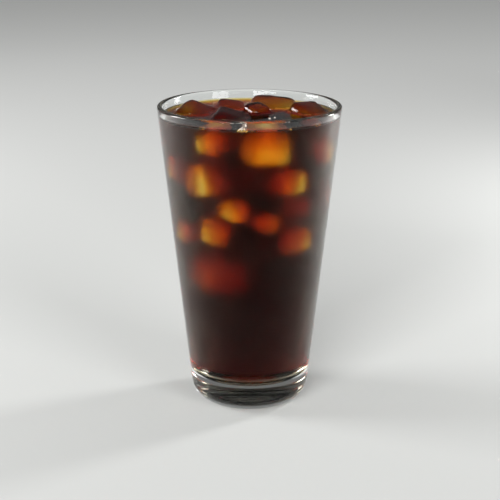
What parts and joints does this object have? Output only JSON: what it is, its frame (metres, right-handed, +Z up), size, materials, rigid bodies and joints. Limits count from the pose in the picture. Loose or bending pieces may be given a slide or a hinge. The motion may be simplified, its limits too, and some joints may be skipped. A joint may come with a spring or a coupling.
{
  "type": "iced cold brew coffee in a glass",
  "caption": "Clear conical tumbler with a thick base, filled almost to the rim with dark cold brew coffee, with melting ice blocks that break the surface",
  "frame": {"origin": "middle of the base, on the surface that the glass stands on", "axes": "+Z up along the axis of the glass, -Y towards the viewer, +X to the viewer's right"},
  "size_m": [0.0886, 0.0886, 0.1495],
  "materials": {
    "glass": "clear soda-lime glass, fire-polished",
    "coffee": "still dark liquid, red-brown where thin",
    "ice": "wet clear ice, rounded by melting"
  },
  "bodies": {
    "root": {"glass": "glass", "coffee": "coffee", "ice_back": "ice", "ice_left": "ice", "ice_middle": "ice", "ice_front": "ice", "ice_right": "ice", "ice_small": "ice"}
  },
  "joints": []
}
